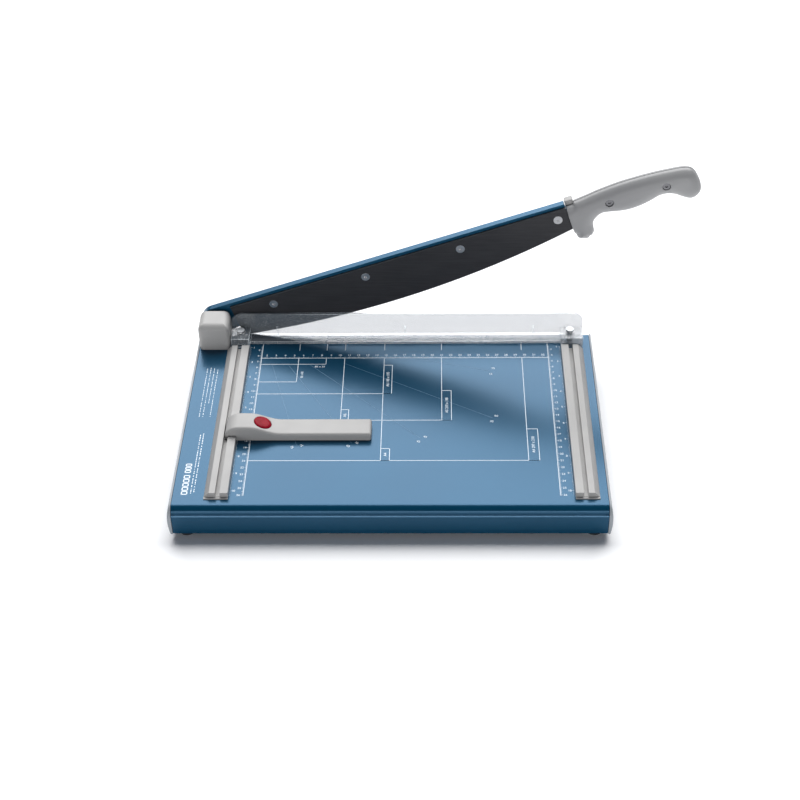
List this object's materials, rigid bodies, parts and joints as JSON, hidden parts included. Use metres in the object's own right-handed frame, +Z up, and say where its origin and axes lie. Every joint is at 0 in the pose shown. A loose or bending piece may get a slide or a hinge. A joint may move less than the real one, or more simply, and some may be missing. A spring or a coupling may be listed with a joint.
{
  "type": "guillotine paper cutter",
  "caption": "Guillotine paper cutter: folded steel table with stop rails, hinged curved knife arm with pistol grip, clear sprung blade guard and sliding backstop with red release button.",
  "frame": {"origin": "centre of the bounding box's bottom face, on the surface that the rubber feet stand on", "axes": "+X along the cutting edge from the pivot towards the handle, +Y away from the user, square to the cutting edge, +Z up"},
  "size_m": [0.5367, 0.3021, 0.243],
  "materials": {
    "blue_paint": "satin powder coat with printed white scales",
    "arm_paint": "satin paint",
    "pale_plastic": "fine moulded grain",
    "rail_plastic": "satin",
    "grip_plastic": "fine moulded grain",
    "knife_black": "satin black with a ground edge",
    "knife_steel": "ground",
    "screw_steel": "nickel plated",
    "zinc_steel": "zinc plated",
    "bronze": "sintered bronze",
    "clear_plastic": "clear polycarbonate",
    "button_red": "gloss",
    "rubber": "matte"
  },
  "bodies": {
    "base": {"table_top": "blue_paint", "left_cheek": "pale_plastic", "right_cheek": "pale_plastic", "cross_brace": "zinc_steel", "counter_blade": "knife_steel", "counter_blade_screws": "zinc_steel", "left_rail": "rail_plastic", "right_rail": "rail_plastic", "rail_screws": "zinc_steel", "pivot_bracket": "zinc_steel", "bracket_screws": "zinc_steel", "bracket_nuts": "zinc_steel", "pivot_bolt": "zinc_steel", "spacer_ring": "zinc_steel", "head_washer": "zinc_steel", "disc_springs": "zinc_steel", "lock_nut": "zinc_steel", "pivot_cover": "pale_plastic", "foot_front_left": "rubber", "foot_front_right": "rubber", "foot_rear_left": "rubber", "foot_rear_right": "rubber", "foot_screws": "zinc_steel", "guard_posts": "zinc_steel", "guard_spring_left": "zinc_steel", "guard_spring_right": "zinc_steel"},
    "blade_arm": {"arm_bar": "arm_paint", "pivot_bush": "bronze", "upper_blade": "knife_black", "blade_screws": "screw_steel", "handle_front_shell": "grip_plastic", "handle_rear_shell": "grip_plastic", "handle_screws": "screw_steel"},
    "guard": {"guard_shield": "clear_plastic", "guard_clip_left": "clear_plastic", "guard_clip_right": "clear_plastic"},
    "backstop": {"backstop_arm": "pale_plastic", "backstop_base": "pale_plastic", "backstop_screws": "zinc_steel", "button_spring": "zinc_steel"},
    "clamp_shoe": {"clamp_shoe": "rubber"},
    "release_button": {"release_button": "button_red"}
  },
  "joints": [
    {"name": "arm_hinge", "type": "hinge", "parent": "base", "child": "blade_arm", "pos_m": [-0.24668, 0.13185, 0.052], "axis": [0, -1, 0], "range_deg": [-21.3, 38]},
    {"name": "guard_lift", "type": "slide", "parent": "base", "child": "guard", "axis": [0, 0, 1], "range_m": [0, 0.004], "stiffness_N_per_m": 400, "springref_m": -0.004, "deforming": ["guard_spring_left", "guard_spring_right"]},
    {"name": "backstop_slide", "type": "slide", "parent": "base", "child": "backstop", "axis": [0, 1, 0], "range_m": [-0.08, 0.12]},
    {"name": "button_press", "type": "slide", "parent": "backstop", "child": "release_button", "axis": [0, 0, -1], "range_m": [0, 0.0015], "stiffness_N_per_m": 600, "springref_m": -0.002, "deforming": ["button_spring"]},
    {"name": "shoe_slide", "type": "slide", "parent": "backstop", "child": "clamp_shoe", "axis": [1, 0, 0], "range_m": [0, 0.00075]}
  ],
  "couplings": [
    {"joint": "shoe_slide", "follows": "button_press", "ratio": 0.5}
  ]
}
